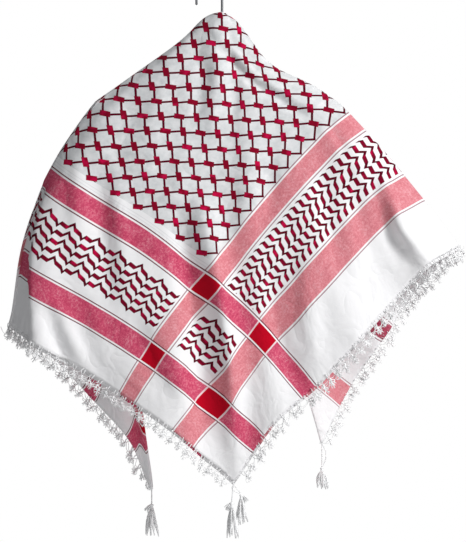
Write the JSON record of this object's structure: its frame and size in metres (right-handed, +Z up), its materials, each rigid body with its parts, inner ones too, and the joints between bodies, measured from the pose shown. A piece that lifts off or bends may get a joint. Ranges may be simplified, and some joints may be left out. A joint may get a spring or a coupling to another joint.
{
  "type": "keffiyeh headscarf on a clothes hanger",
  "caption": "Square cotton headscarf with a woven net and band pattern, a knotted fringe and tassels, folded corner to corner and hung over a hanger with a steel hook.",
  "frame": {"origin": "inner top of the hook, where a rail or wall hook holds it", "axes": "+Z up, -Y the front of the scarf, +X to the right as seen from the front"},
  "size_m": [0.7709, 0.1361, 0.9218],
  "materials": {
    "red_white_cotton": "woven, matt",
    "white_cotton": "knotted yarn, matt",
    "dark_steel": "dark, satin",
    "black_plastic": "satin"
  },
  "bodies": {
    "root": {"outer_layer": "red_white_cotton", "inner_layer": "red_white_cotton", "fringe_outer_left": "white_cotton", "fringe_outer_right": "white_cotton", "fringe_inner_left": "white_cotton", "fringe_inner_right": "white_cotton", "tassel_left_end": "white_cotton", "tassel_front_outer": "white_cotton", "tassel_front_inner": "white_cotton", "tassel_right_end": "white_cotton", "hanger_rod": "black_plastic", "hanger_boss": "black_plastic", "hook": "dark_steel"}
  },
  "joints": []
}
